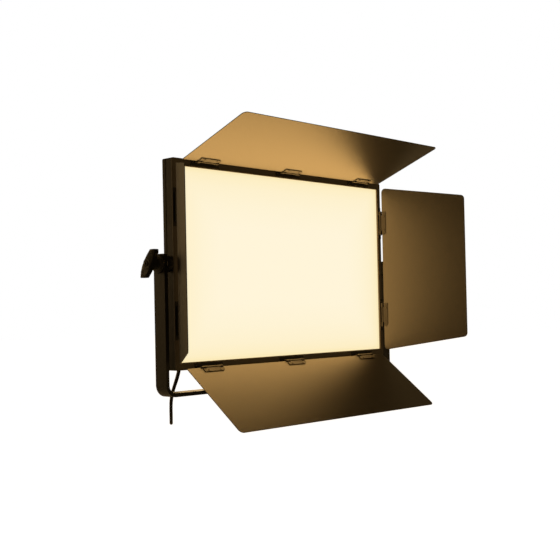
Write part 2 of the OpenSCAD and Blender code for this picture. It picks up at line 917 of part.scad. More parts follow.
module cord_tie() {
    color(black) at_pivot() translate([coil_x, coil_y, coil_z - coil_mid_d / 2]) difference() {
        cube([12, 2 * coil_half + 3, 2 * cord_d + 4], center = true);
        cube([13, 2 * coil_half + 0.2, 2 * cord_d + 1.4], center = true);
    }
}

module plug_body() {
    color(black) at_pivot() translate([plug_x, coil_y, plug_z + 24]) {
        translate([0, 0, -14]) cylinder(h = 14, r1 = 8, r2 = 5);
        translate([0, 0, -14 - 24]) linear_extrude(24.1) round_rect(30, 22, 6);
    }
}

module plug_pins() {
    color(steel) at_pivot() translate([plug_x, coil_y, plug_z + 24 - 38 - 18]) {
        for (s = [-1, 1]) translate([s * 8, 0, 0]) cylinder(h = 18, r = 2.2);
        translate([0, 6, 3]) cylinder(h = 15, r = 2.2);
    }
}

// ---------- output ----------

yoke_bar();
receiver();
receiver_bolt();
lock_knob();
lock_screw();
lever_disc();
lever_handle();
lever_bolt();
tension_knob();
tension_bolt();
rim();
bezel();
diffuser();
reflector();
led_board();
led_chips();
back_plate();
casing();
heat_sink();
casing_screws();
control_panel();
display();
switch_bezel();
data_sockets();
handle();
handle_screws();
pivot_bosses();
friction_washers();
hinge_brackets();
hinge_pins();
bracket_screws();
cord_hook();
strain_relief();
power_cord();
cord_coil();
cord_tail();
cord_tie();
plug_body();
plug_pins();
brightness_knob();
colour_knob();
button_minus();
button_plus();
button_menu();
power_rocker();
top_door();
top_leaves();
top_rivets();
bottom_door();
bottom_leaves();
bottom_rivets();
left_door();
left_leaves();
left_rivets();
right_door();
right_leaves();
right_rivets();
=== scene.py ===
import json
import math

import bmesh
import bpy
from mathutils import Matrix, Vector


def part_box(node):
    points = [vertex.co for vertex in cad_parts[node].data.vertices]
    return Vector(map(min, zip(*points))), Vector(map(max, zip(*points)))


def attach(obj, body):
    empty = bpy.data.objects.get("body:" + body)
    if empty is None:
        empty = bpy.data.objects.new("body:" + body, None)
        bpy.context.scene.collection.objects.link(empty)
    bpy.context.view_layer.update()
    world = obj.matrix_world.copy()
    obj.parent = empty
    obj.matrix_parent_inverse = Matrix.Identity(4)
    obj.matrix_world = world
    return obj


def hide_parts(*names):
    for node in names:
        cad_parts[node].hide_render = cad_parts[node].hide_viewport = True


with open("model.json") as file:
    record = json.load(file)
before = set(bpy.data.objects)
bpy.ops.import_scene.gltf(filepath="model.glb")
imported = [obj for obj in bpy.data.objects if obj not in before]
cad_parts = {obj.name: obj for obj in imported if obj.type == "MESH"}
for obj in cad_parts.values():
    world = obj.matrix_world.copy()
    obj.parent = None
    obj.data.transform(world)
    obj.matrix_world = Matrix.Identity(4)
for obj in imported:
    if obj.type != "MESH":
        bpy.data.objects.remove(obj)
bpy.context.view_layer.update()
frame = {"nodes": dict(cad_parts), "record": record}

MM = 0.001
PIVOT = Vector((0.0, 0.0, 0.320))  # middle of the tilt axis
WINDOW = (0.664, 0.400)  # the opening of the bezel


def pivot_point(x, y, z):
    """A point given in millimetres from the middle of the tilt axis."""
    return PIVOT + Vector((x, y, z)) * MM


def corners(node):
    """Lowest corner, highest corner and middle of a CAD node."""
    low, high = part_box(node)
    return low, high, (low + high) / 2


# ---------- camera ----------

CAMERA_PLACE = Vector((-1.6360, -1.5097, 0.2228))
CAMERA_YAW = math.radians(47.02)
CAMERA_PITCH = math.radians(1.24)
CAMERA_ROLL = math.radians(-1.23)
CAMERA_LENS = 62.83
CAMERA_SHIFT_UP = 0.0154


def make_camera():
    """The camera stands low and to the left of the light, level with its lower half."""
    data = bpy.data.cameras.new("camera")
    data.sensor_width = 36.0
    data.lens = CAMERA_LENS
    data.shift_y = CAMERA_SHIFT_UP
    camera = bpy.data.objects.new("camera", data)
    bpy.context.scene.collection.objects.link(camera)
    forward = Vector((
        math.sin(CAMERA_YAW) * math.cos(CAMERA_PITCH),
        math.cos(CAMERA_YAW) * math.cos(CAMERA_PITCH),
        math.sin(CAMERA_PITCH),
    ))
    level = Vector((math.cos(CAMERA_YAW), -math.sin(CAMERA_YAW), 0.0))
    upright = level.cross(forward)
    right = level * math.cos(CAMERA_ROLL) + upright * math.sin(CAMERA_ROLL)
    up = upright * math.cos(CAMERA_ROLL) - level * math.sin(CAMERA_ROLL)
    turn = Matrix((right, up, -forward)).transposed()
    camera.matrix_world = Matrix.Translation(CAMERA_PLACE) @ turn.to_4x4()
    bpy.context.scene.camera = camera


# ---------- materials ----------


class Paint:
    """One procedural material, built node by node on a Principled shader."""

    def __init__(self, name):
        self.material = bpy.data.materials.new(name)
        self.material.use_nodes = True
        self.tree = self.material.node_tree
        self.tree.nodes.clear()
        output = self.tree.nodes.new("ShaderNodeOutputMaterial")
        self.shader = self.tree.nodes.new("ShaderNodeBsdfPrincipled")
        self.link(self.shader.outputs["BSDF"], output.inputs["Surface"])
        self.place = self.tree.nodes.new("ShaderNodeTexCoord").outputs["Object"]
        self.relief = None

    def link(self, source, target):
        self.tree.links.new(source, target)

    def set(self, **values):
        for name, value in values.items():
            self.shader.inputs[name.replace("_", " ")].default_value = value
        return self

    def noise(self, size, detail=4.0, stretch=(1.0, 1.0, 1.0)):
        """Noise whose blotches are about size metres across."""
        mapping = self.tree.nodes.new("ShaderNodeMapping")
        mapping.inputs["Scale"].default_value = stretch
        self.link(self.place, mapping.inputs["Vector"])
        texture = self.tree.nodes.new("ShaderNodeTexNoise")
        texture.inputs["Scale"].default_value = 1.0 / size
        texture.inputs["Detail"].default_value = detail
        self.link(mapping.outputs["Vector"], texture.inputs["Vector"])
        return texture.outputs["Fac"]

    def cells(self, size):
        """Rounded cells about size metres across, as moulded or sprayed grain has."""
        texture = self.tree.nodes.new("ShaderNodeTexVoronoi")
        texture.feature = "SMOOTH_F1"
        texture.inputs["Scale"].default_value = 1.0 / size
        self.link(self.place, texture.inputs["Vector"])
        return texture.outputs["Distance"]

    def bands(self, size, direction, kind="BANDS"):
        texture = self.tree.nodes.new("ShaderNodeTexWave")
        texture.wave_type = kind
        texture.bands_direction = direction
        texture.inputs["Scale"].default_value = 0.314 / size
        self.link(self.place, texture.inputs["Vector"])
        return texture.outputs["Fac"]

    def spread(self, value, low, high, start=0.3, end=0.7):
        """value from start to end becomes low to high."""
        node = self.tree.nodes.new("ShaderNodeMapRange")
        node.inputs["From Min"].default_value = start
        node.inputs["From Max"].default_value = end
        node.inputs["To Min"].default_value = low
        node.inputs["To Max"].default_value = high
        self.link(value, node.inputs["Value"])
        return node.outputs["Result"]

    def maths(self, operation, first, second=None, third=None):
        node = self.tree.nodes.new("ShaderNodeMath")
        node.operation = operation
        for socket, value in zip(node.inputs, (first, second, third)):
            if isinstance(value, (int, float)):
                socket.default_value = value
            elif value is not None:
                self.link(value, socket)
        return node.outputs["Value"]

    def ramp(self, value, stops):
        node = self.tree.nodes.new("ShaderNodeValToRGB")
        ramp = node.color_ramp
        while len(ramp.elements) < len(stops):
            ramp.elements.new(0.5)
        for element, (position, colour) in zip(ramp.elements, stops):
            element.position = position
            element.color = (*colour, 1.0)
        self.link(value, node.inputs["Fac"])
        return node.outputs["Color"]

    def edges(self, radius):
        """1 on edges rounded over radius, 0 on flats."""
        bevel = self.tree.nodes.new("ShaderNodeBevel")
        bevel.samples = 4
        bevel.inputs["Radius"].default_value = radius
        geometry = self.tree.nodes.new("ShaderNodeNewGeometry")
        dot = self.tree.nodes.new("ShaderNodeVectorMath")
        dot.operation = "DOT_PRODUCT"
        self.link(bevel.outputs["Normal"], dot.inputs[0])
        self.link(geometry.outputs["Normal"], dot.inputs[1])
        return self.spread(dot.outputs["Value"], 1.0, 0.0, 0.80, 0.99)

    def colours(self, value, first, second):
        self.link(self.ramp(value, [(0.0, first), (1.0, second)]), self.shader.inputs["Base Color"])
        return self

    def roughness(self, value):
        self.link(value, self.shader.inputs["Roughness"])
        return self

    def bump(self, height, depth, strength=1.0):
        """Adds relief of depth metres on top of any relief given before."""
        node = self.tree.nodes.new("ShaderNodeBump")
        node.inputs["Strength"].default_value = strength
        node.inputs["Distance"].default_value = depth
        self.link(height, node.inputs["Height"])
        if self.relief is not None:
            self.link(self.relief, node.inputs["Normal"])
        self.relief = node.outputs["Normal"]
        self.link(self.relief, self.shader.inputs["Normal"])
        return self


def sprayed_metal(name, dark, light, rough, grain, depth, worn=None):
    """Black paint on metal: a fine orange peel, cloudy gloss and, where worn is given, lighter edges."""
    paint = Paint(name)
    clouds = paint.noise(0.045, 3.0)
    colour = paint.ramp(paint.spread(clouds, 0.0, 1.0), [(0.0, dark), (1.0, light)])
    if worn is not None:
        patches = paint.spread(paint.noise(0.012, 5.0), 0.0, 1.0, 0.45, 0.62)
        amount = paint.maths("MULTIPLY", paint.edges(0.0009), patches)
        mix = paint.tree.nodes.new("ShaderNodeMix")
        mix.data_type = "RGBA"
        paint.link(amount, mix.inputs[0])
        paint.link(colour, mix.inputs[6])
        mix.inputs[7].default_value = (*worn, 1.0)
        colour = mix.outputs[2]
    paint.link(colour, paint.shader.inputs["Base Color"])
    paint.roughness(paint.spread(paint.noise(0.02, 4.0), rough - 0.05, rough + 0.06))
    paint.bump(paint.noise(grain, 2.0), depth)
    return paint.material


def door_paint():
    """Fine even texture paint on the doors, with a little dust and handling marks."""
    paint = Paint("door_paint")
    dust = paint.spread(paint.noise(0.0013, 5.0), 0.0, 1.0)
    paint.colours(dust, (0.0125, 0.0115, 0.0103), (0.016, 0.0148, 0.0131))
    paint.roughness(paint.spread(paint.noise(0.0020, 4.0), 0.34, 0.39))
    paint.set(Specular_IOR_Level=0.80)
    paint.bump(paint.noise(0.0009, 2.0), 0.00006)
    return paint.material


def moulded_plastic(name, dark, light, rough, grain=0.0006, depth=0.00004):
    paint = Paint(name)
    paint.colours(paint.spread(paint.noise(0.008, 4.0), 0.0, 1.0), dark, light)
    paint.roughness(paint.spread(paint.noise(0.004, 3.0), rough - 0.06, rough + 0.06))
    paint.bump(paint.cells(grain), depth)
    return paint.material


def bare_metal(name, dark, light, rough, direction=(1.0, 1.0, 14.0)):
    """Plated or brushed metal with fine lines across direction's longest stretch."""
    paint = Paint(name)
    paint.set(Metallic=1.0)
    lines = paint.noise(0.004, 5.0, direction)
    paint.colours(paint.spread(lines, 0.0, 1.0), dark, light)
    paint.roughness(paint.spread(paint.noise(0.003, 4.0), rough - 0.06, rough + 0.10))
    paint.bump(lines, 0.00002)
    return paint.material


def black_anodising():
    paint = Paint("black_anodising")
    paint.set(Metallic=0.6, Specular_IOR_Level=0.6)
    lines = paint.noise(0.003, 4.0, (6.0, 6.0, 0.35))
    paint.colours(paint.spread(lines, 0.0, 1.0), (0.020, 0.019, 0.019), (0.036, 0.034, 0.033))
    paint.roughness(paint.spread(lines, 0.34, 0.50))
    paint.bump(lines, 0.00003)
    return paint.material


def rubber(name, dark, light, rough, ribs=None):
    paint = Paint(name)
    dust = paint.noise(0.010, 6.0)
    paint.colours(paint.spread(dust, 0.0, 1.0), dark, light)
    paint.roughness(paint.spread(paint.noise(0.006, 4.0), rough - 0.05, rough + 0.08))
    paint.bump(paint.noise(0.0008, 3.0), 0.00005)
    if ribs is not None:
        paint.bump(paint.bands(ribs, "X"), 0.0004)
    return paint.material


def woven_tape():
    paint = Paint("woven_tape")
    warp = paint.bands(0.0011, "X")
    weft = paint.bands(0.0009, "Y")
    weave = paint.maths("MAXIMUM", warp, weft)
    paint.colours(weave, (0.008, 0.008, 0.008), (0.045, 0.043, 0.042))
    paint.set(Roughness=0.9, Sheen_Weight=0.4)
    paint.bump(weave, 0.0002)
    paint.bump(paint.noise(0.0007, 3.0), 0.0001)
    return paint.material


def opal_acrylic():
    """The lit diffuser: even and nearly white in the middle, yellower over its last centimetres."""
    paint = Paint("opal_acrylic")
    half_width, half_height = WINDOW[0] / 2, WINDOW[1] / 2
    split = paint.tree.nodes.new("ShaderNodeSeparateXYZ")
    paint.link(paint.place, split.inputs["Vector"])
    across = paint.maths("SUBTRACT", half_width, paint.maths("ABSOLUTE", split.outputs["X"]))
    height = paint.maths("SUBTRACT", split.outputs["Z"], PIVOT.z)
    along = paint.maths("SUBTRACT", half_height, paint.maths("ABSOLUTE", height))
    inward = paint.maths("SMOOTH_MIN", across, along, 0.030)
    fade = paint.spread(inward, 0.0, 1.0, -0.004, 0.120)
    glow = paint.ramp(fade, [
        (0.00, (0.948, 0.800, 0.440)),
        (0.12, (0.975, 0.855, 0.560)),
        (0.30, (0.980, 0.876, 0.617)),
        (0.60, (0.984, 0.894, 0.662)),
        (1.00, (0.990, 0.905, 0.694)),
    ])
    paint.link(glow, paint.shader.inputs["Emission Color"])
    paint.set(Emission_Strength=1.0, Base_Color=(0.04, 0.036, 0.03, 1.0), Roughness=0.55)
    paint.bump(paint.noise(0.0015, 3.0), 0.00003)
    return paint.material


def phosphor():
    paint = Paint("phosphor")
    speckle = paint.noise(0.0006, 3.0)
    paint.colours(paint.spread(speckle, 0.0, 1.0), (0.80, 0.55, 0.12), (0.95, 0.75, 0.25))
    paint.link(paint.ramp(speckle, [(0.0, (1.0, 0.85, 0.5)), (1.0, (1.0, 0.95, 0.7))]),
               paint.shader.inputs["Emission Color"])
    paint.set(Emission_Strength=1.0, Roughness=0.3)
    return paint.material


def dark_window():
    """The display's window: near black and glossy, with faint rows behind it."""
    paint = Paint("dark_window")
    rows = paint.bands(0.0006, "Z")
    paint.colours(rows, (0.004, 0.006, 0.008), (0.007, 0.010, 0.013))
    paint.roughness(paint.spread(paint.noise(0.01, 5.0), 0.05, 0.16))
    paint.set(Coat_Weight=0.6, Coat_Roughness=0.04)
    return paint.material


def lit_digits():
    paint = Paint("lit_digits")
    shade = paint.noise(0.004, 2.0)
    paint.link(paint.ramp(shade, [(0.0, (0.30, 0.70, 0.95)), (1.0, (0.45, 0.85, 1.0))]),
               paint.shader.inputs["Emission Color"])
    paint.set(Emission_Strength=1.4, Base_Color=(0.02, 0.05, 0.07, 1.0), Roughness=0.5)
    return paint.material


def printed_marks():
    paint = Paint("printed_marks")
    paint.colours(paint.noise(0.001, 3.0), (0.42, 0.41, 0.39), (0.62, 0.61, 0.58))
    paint.set(Roughness=0.6)
    return paint.material


def white_sheet(name, dark, light, rough):
    paint = Paint(name)
    paint.colours(paint.spread(paint.noise(0.03, 4.0), 0.0, 1.0), dark, light)
    paint.roughness(paint.spread(paint.noise(0.006, 3.0), rough - 0.06, rough + 0.06))
    paint.bump(paint.noise(0.0008, 3.0), 0.00002)
    return paint.material


FINISHES = {
    "frame_black": sprayed_metal(
        "powder_coat", (0.010, 0.009, 0.008), (0.016, 0.014, 0.012), 0.46, 0.0012, 0.00016,
        (0.060, 0.052, 0.044)),
    "frame_alloy": sprayed_metal(
        "satin_paint", (0.011, 0.010, 0.0085), (0.017, 0.015, 0.013), 0.40, 0.0010, 0.00010,
        (0.070, 0.062, 0.052)),
    "door_sheet": door_paint(),
    "hinge_black": sprayed_metal(
        "hinge_paint", (0.008, 0.0072, 0.0064), (0.013, 0.0115, 0.010), 0.50, 0.0009, 0.00008,
        (0.050, 0.044, 0.037)),
    "screw_black": bare_metal(
        "black_oxide", (0.035, 0.032, 0.030), (0.075, 0.070, 0.065), 0.38, (5.0, 5.0, 5.0)),
    "heat_sink": black_anodising(),
    "steel": bare_metal("zinc_plate", (0.42, 0.42, 0.43), (0.60, 0.60, 0.61), 0.30),
    "black_plastic": moulded_plastic(
        "filled_nylon", (0.010, 0.0095, 0.009), (0.018, 0.017, 0.016), 0.50, 0.0009, 0.00007),
    "knob_plastic": moulded_plastic("knob_plastic", (0.012, 0.012, 0.012), (0.020, 0.020, 0.020), 0.42),
    "grip_rubber": rubber("grip_rubber", (0.012, 0.012, 0.012), (0.024, 0.023, 0.022), 0.68),
    "cord_rubber": rubber("cord_rubber", (0.008, 0.0075, 0.007), (0.015, 0.014, 0.013), 0.55),
    "tie_fabric": woven_tape(),
    "fascia": moulded_plastic(
        "fascia_film", (0.014, 0.014, 0.015), (0.020, 0.020, 0.021), 0.56, 0.0004, 0.00003),
    "display": dark_window(),
    "socket_metal": bare_metal("satin_nickel", (0.32, 0.31, 0.30), (0.46, 0.45, 0.43), 0.32, (4.0, 4.0, 4.0)),
    "pin_metal": bare_metal("bright_nickel", (0.62, 0.60, 0.57), (0.76, 0.74, 0.70), 0.20),
    "nylon": moulded_plastic("natural_nylon", (0.62, 0.60, 0.54), (0.74, 0.72, 0.66), 0.50),
    "white_plastic": white_sheet("white_reflector", (0.74, 0.74, 0.71), (0.82, 0.82, 0.80), 0.55),
    "led_board": white_sheet("solder_mask", (0.70, 0.70, 0.68), (0.80, 0.80, 0.78), 0.40),
    "diffuser": opal_acrylic(),
    "led_chips": phosphor(),
}
# Bezel finish: painted light, a base colour several times lighter and warmer than the rim's, standing for the
# glow from the doors and the diffuser
BEZEL_PAINTED_LIGHT = sprayed_metal(
    "bezel_painted_light", (0.082, 0.070, 0.054), (0.100, 0.085, 0.066), 0.48, 0.0010, 0.00008, (0.150, 0.130, 0.100))
DIGITS = lit_digits()
MARKS = printed_marks()


def paint_cad_nodes():
    """Every CAD node that stays in view takes the finish of its slot in the record."""
    for part in frame["record"]["subparts"]:
        node = frame["nodes"][part["node"]]
        node.data.materials.clear()
        node.data.materials.append(FINISHES[part["material_slot"]])


def soften(node_name, width, segments=2, angle=35.0):
    """Rounds a CAD node's sharp edges with modifiers, which leave its own vertices alone."""
    node = frame["nodes"][node_name]
    weld = node.modifiers.new("weld", "WELD")
    weld.merge_threshold = 1e-6
    flat = node.modifiers.new("flat", "DECIMATE")
    flat.decimate_type = "DISSOLVE"
    flat.angle_limit = math.radians(0.5)
    bevel = node.modifiers.new("bevel", "BEVEL")
    bevel.width = width
    bevel.segments = segments
    bevel.limit_method = "ANGLE"
    bevel.angle_limit = math.radians(angle)
    normals = node.modifiers.new("normals", "WEIGHTED_NORMAL")
    normals.weight = 80


# ---------- mesh building ----------


class Shape:
    """A mesh under construction, in metres in the row frame."""

    def __init__(self):
        self.bm = bmesh.new()

    def skin(self, rings, capped=True):
        """Faces between rings that have equal numbers of points."""
        rows = [[self.bm.verts.new(point) for point in ring] for ring in rings]
        count = len(rows[0])
        for low, high in zip(rows, rows[1:]):
            for k in range(count):
                after = (k + 1) % count
                self.bm.faces.new((low[k], low[after], high[after], high[k]))
        if capped:
            self.bm.faces.new(list(reversed(rows[0])))
            self.bm.faces.new(rows[-1])

    def turned(self, profile, centre, axis, segments=48, lobes=0, lobe_depth=0.0, lobed=()):
        """A turned body of (radius, height) rows along the axis; the rows named in lobed swell in and out."""
        turn = Vector(axis).to_track_quat("Z", "Y").to_matrix()
        rings = []
        for row, (radius, height) in enumerate(profile):
            ring = []
            for k in range(segments):
                angle = 2 * math.pi * k / segments
                swell = 0.0
                if row in lobed:
                    swell = lobe_depth * (math.cos(lobes * angle) - 1.0) / 2
                reach = max(radius + swell, 2e-6)
                around = Vector((reach * math.cos(angle), reach * math.sin(angle), height))
                ring.append(centre + turn @ around)
            rings.append(ring)
        self.skin(rings)

    def block(self, middle, size, round_by=0.0, turn=None):
        """A box with rounded edges, turned about its middle."""
        made = bmesh.ops.create_cube(self.bm, size=1.0)
        verts = made["verts"]
        turn = turn or Matrix.Identity(3)
        for vert in verts:
            vert.co = middle + turn @ Vector((vert.co.x * size[0], vert.co.y * size[1], vert.co.z * size[2]))
        if round_by > 0:
            edges = list({edge for vert in verts for edge in vert.link_edges})
            bmesh.ops.bevel(
                self.bm, geom=edges, offset=round_by, segments=2, profile=0.5, affect="EDGES",
                clamp_overlap=True)

    def prism(self, face, reach, round_by):
        """A flat outline pushed along reach, with rounded edges."""
        near = [self.bm.verts.new(point) for point in face]
        far = [self.bm.verts.new(point + reach) for point in face]
        made = [self.bm.faces.new(near), self.bm.faces.new(list(reversed(far)))]
        for k in range(len(face)):
            after = (k + 1) % len(face)
            made.append(self.bm.faces.new((near[after], near[k], far[k], far[after])))
        edges = list({edge for side in made for edge in side.edges})
        bmesh.ops.bevel(
            self.bm, geom=edges, offset=round_by, segments=3, profile=0.5, affect="EDGES", clamp_overlap=True)

    def tube(self, path, radius, segments=16):
        """A round tube along a path; radius is one value or one for each point."""
        radii = radius if isinstance(radius, (list, tuple)) else [radius] * len(path)
        rings = []
        side = None
        for i, point in enumerate(path):
            ahead = (path[min(i + 1, len(path) - 1)] - path[max(i - 1, 0)]).normalized()
            if side is None:
                side = ahead.orthogonal().normalized()
            side = (side - ahead * side.dot(ahead)).normalized()
            other = ahead.cross(side)
            rings.append([
                point + (side * math.cos(a) + other * math.sin(a)) * radii[i]
                for a in (2 * math.pi * k / segments for k in range(segments))
            ])
        self.skin(rings)

    def piece(self, name, slot, body, replaces=(), material=None, crease=35.0):
        """Turns the shape into a named piece that rides on a body."""
        bmesh.ops.remove_doubles(self.bm, verts=self.bm.verts, dist=5e-6)
        bmesh.ops.dissolve_degenerate(self.bm, edges=self.bm.edges, dist=1e-6)
        bmesh.ops.recalc_face_normals(self.bm, faces=self.bm.faces)
        mesh = bpy.data.meshes.new(name)
        self.bm.to_mesh(mesh)
        self.bm.free()
        mesh.shade_smooth()
        mesh.set_sharp_from_angle(angle=math.radians(crease))
        mesh.materials.append(material or FINISHES[slot])
        obj = bpy.data.objects.new(name, mesh)
        bpy.context.scene.collection.objects.link(obj)
        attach(obj, body)
        if replaces:
            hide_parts(*replaces)
        return obj


def outline(width, height, power=4.0, count=32):
    """A rounded rectangle as a superellipse, in its own two axes."""
    points = []
    for k in range(count):
        angle = 2 * math.pi * k / count
        c, s = math.cos(angle), math.sin(angle)
        points.append((
            width / 2 * math.copysign(abs(c) ** (2 / power), c),
            height / 2 * math.copysign(abs(s) ** (2 / power), s),
        ))
    return points


def on_curve(points, steps):
    """Points on a smooth curve through the given ones, steps for each stretch."""
    made = []
    for i in range(len(points) - 1):
        a = points[max(i - 1, 0)]
        b = points[i]
        c = points[i + 1]
        d = points[min(i + 2, len(points) - 1)]
        for k in range(steps):
            t = k / steps
            made.append(0.5 * (
                2 * b + (c - a) * t + (2 * a - 5 * b + 4 * c - d) * t * t
                + (3 * b - a - 3 * c + d) * t ** 3))
    made.append(points[-1])
    return made


# ---------- power lead ----------

CORD_D = 7.0
COIL_CENTRE = (-205.0, 76.0, -92.0)
COIL_MID_R = 40.0
COIL_TURNS = 5.5
GLAND = (-277.0, 50.0, -168.0)
LEAD_ROUTE = [
    (-277, 50, -203), (-277.3, 50, -213), (-280.3, 50, -226), (-286, 50, -240),
    (-292.8, 50, -254), (-298.6, 50, -269), (-302, 50, -285), (-302.8, 50, -300.5),
    (-300.1, 53.1, -316), (-292.8, 61.8, -327.3), (-282.7, 73.5, -331.4), (-272.7, 85.3, -327.3),
    (-265.3, 93.9, -316), (-262.6, 97, -300.5), (-261.4, 97.2, -285), (-257.3, 97, -269),
    (-251.1, 96.6, -253.5), (-245, 96, -238), (-240.4, 95, -222), (-238, 93.4, -205),
    (-237.8, 91.2, -187), (-239.8, 88.4, -168), (-242.9, 85, -148), (-246, 81.2, -129),
    (-248, 77.6, -110), (-248.5, 76, -92),
]
TAIL_ROUTE = [(-161.5, 76, -92), (-161.5, 76, -104), (-161.5, 76, -117), (-161.5, 76, -130)]
# Slots in the coil's bundle, as (layer outwards, column backwards) in diameters from its middle,
# in the order that the lead fills them. The last turn crosses over the outside to come back.
COIL_SLOTS = [(0.5, 0), (0.5, 1), (-0.5, 1), (-0.5, 0), (-0.5, -1), (0.5, -1), (0.5, 0)]
CROSSING_STARTS = [0.36, 0.28, 0.20, 0.20, 0.12, 0.52]
CROSSING_LEN = 0.27
CLIMB_START = 0.02


def ease(t):
    t = min(max(t, 0.0), 1.0)
    return t * t * (3 - 2 * t)


def coil_point(turn):
    """Where the lead is after that many turns: up at the -X side, over the top and down at the +X side."""
    whole = min(int(turn + 1e-9), len(COIL_SLOTS) - 2)
    half = min((turn - whole) * 2, 1.0)
    layer_a, column_a = COIL_SLOTS[whole]
    layer_b, column_b = COIL_SLOTS[whole + 1]
    moved = ease((half - CROSSING_STARTS[whole]) / CROSSING_LEN)
    layer = layer_a + (layer_b - layer_a) * moved
    column = column_a + (column_b - column_a) * moved
    if whole == len(COIL_SLOTS) - 2:  # the crossing turn climbs out of its slot before it comes back in
        risen = ease((half - CLIMB_START) / CROSSING_LEN)
        layer = 0.5 + risen - moved
        column = column_a + (column_b - column_a) * risen
    angle = math.pi - 2 * math.pi * turn
    radius = COIL_MID_R + layer * CORD_D
    x, y, z = COIL_CENTRE
    return pivot_point(x + radius * math.cos(angle), y + column * CORD_D, z + radius * math.sin(angle))


def make_lead():
    """The lead as one open curve: its free loop, the stored coil, and the tail into the plug."""
    inside = pivot_point(GLAND[0], GLAND[1], GLAND[2] - 10)
    seen = on_curve([pivot_point(*p) for p in LEAD_ROUTE], 6)
    steps = int(COIL_TURNS * 48)
    coil = [coil_point(COIL_TURNS * k / steps) for k in range(1, steps)]
    tail = on_curve([pivot_point(*p) for p in TAIL_ROUTE], 4)
    into_plug = pivot_point(TAIL_ROUTE[-1][0], TAIL_ROUTE[-1][1], TAIL_ROUTE[-1][2] - 6)
    points = [inside, *seen, *coil, *tail, into_plug]
    curve = bpy.data.curves.new("power_lead", "CURVE")
    curve.dimensions = "3D"
    spline = curve.splines.new("POLY")
    spline.points.add(len(points) - 1)
    for target, point in zip(spline.points, points):
        target.co = (*point, 1.0)
    curve.bevel_depth = CORD_D / 2 * MM
    curve.bevel_resolution = 4
    curve.use_fill_caps = True
    curve.materials.append(FINISHES["cord_rubber"])
    lead = bpy.data.objects.new("power_lead", curve)
    bpy.context.scene.collection.objects.link(lead)
    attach(lead, "head")
    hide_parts("power_cord", "cord_coil", "cord_tail")
    return lead


def make_strain_relief():
    """Collar against the casing, then a long taper with ring grooves that let it bend."""
    shape = Shape()
    top = pivot_point(*GLAND)
    tip_r = (CORD_D / 2 + 0.5) * MM
    shape.turned([
        (0.0, 0.007), (0.0050, 0.007), (0.0052, 0.0), (0.0088, -0.0001), (0.0092, -0.0005),
        (0.0092, -0.0030), (0.0086, -0.0040), (0.0072, -0.0042),
    ], top, (0, 0, 1), 48)
    profile = [(0.0070, 0.0035)]
    rings = 7
    for k in range(rings):
        start = 0.0050 + k * 0.0040
        wide = 0.0070 + (tip_r - 0.0070) * k / rings
        narrow = max(wide - 0.0013, tip_r - 0.0003)
        profile += [(wide, start), (wide, start + 0.0022), (narrow, start + 0.0026), (narrow, start + 0.0036)]
    profile += [(tip_r, 0.0332), (tip_r, 0.0345), (tip_r - 0.0006, 0.0352)]
    shape.turned(profile, top, (0, 0, -1), 40)
    return shape.piece("lead_strain_relief", "cord_rubber", "head", ["strain_relief"])


def make_plug():
    """A moulded plug: flared neck with ring grooves, waisted body, and a raised rim at its face."""
    shape = Shape()
    x, y, z = TAIL_ROUTE[-1]
    neck = [(0.0046, 0.0), (0.0050, 0.0012)]
    for k in range(4):
        start = 0.0020 + k * 0.0026
        wide = 0.0053 + 0.0007 * k
        neck += [
            (wide, start), (wide, start + 0.0014),
            (wide - 0.0009, start + 0.0017), (wide - 0.0009, start + 0.0024),
        ]
    neck += [(0.0078, 0.0130), (0.0079, 0.0150)]
    shape.turned(neck, pivot_point(x, y, z), (0, 0, -1), 40)
    rings = []
    for depth, wide, thick, power in (
        (13.0, 15, 14, 2.6), (14.5, 20, 17, 3.0), (17.0, 25, 19.5, 3.4), (21.0, 27, 20.0, 3.6),
        (26.0, 26, 18.6, 3.6), (31.0, 27, 19.6, 3.8), (34.5, 29.4, 21.4, 4.2), (37.4, 29.8, 21.8, 4.6),
        (38.0, 29.0, 21.0, 4.6),
    ):
        rings.append([pivot_point(x + a, y + b, z - depth) for a, b in outline(wide, thick, power, 40)])
    shape.skin(rings)
    for side in (-1, 1):
        for row in range(4):
            shape.block(pivot_point(x, y + side * 9.6, z - 21.5 - 3.0 * row), (0.014, 0.0012, 0.0012), 0.0004)
    return shape.piece("lead_plug", "cord_rubber", "head", ["plug_body"])


def make_plug_pins():
    shape = Shape()
    x, y, z = TAIL_ROUTE[-1]
    for dx, dy, reach in ((-8, 0, 18), (8, 0, 18), (0, 6, 15)):
        base = pivot_point(x + dx, y + dy, z - 37.5)
        long = (reach + 0.5) * MM
        shape.turned([
            (0.0022, 0.0), (0.0022, long - 0.0014), (0.0018, long - 0.0005), (0.0010, long), (0.0, long),
        ], base, (0, 0, -1), 28)
    return shape.piece("lead_plug_pins", "pin_metal", "head", ["plug_pins"])


def make_cord_tie():
    """A strap round the bundle, with its free end laid back over it."""
    shape = Shape()
    x, y, z = COIL_CENTRE
    z -= COIL_MID_R
    half_deep = 1.5 * CORD_D + 0.9
    half_high = CORD_D + 1.2
    strap = 0.0009
    path = []
    for k in range(49):
        angle = 2 * math.pi * k / 48 * 1.16 + 0.4
        c, s = math.cos(angle), math.sin(angle)
        lift = 0.0 if k < 42 else (k - 41) * 0.14
        path.append((
            (half_deep + lift) * math.copysign(abs(c) ** 0.55, c),
            (half_high + lift) * math.copysign(abs(s) ** 0.55, s),
        ))
    rings = []
    for dy, dz in path:
        out = Vector((0.0, dy, dz)).normalized()
        middle = pivot_point(x, y + dy, z + dz)
        ring = []
        for a, b in outline(0.0115, strap, 6.0, 12):
            ring.append(middle + Vector((a, 0, 0)) + out * b)
        rings.append(ring)
    shape.skin(rings)
    return shape.piece("lead_tie", "tie_fabric", "head", ["cord_tie"])


# ---------- clamps and locks ----------

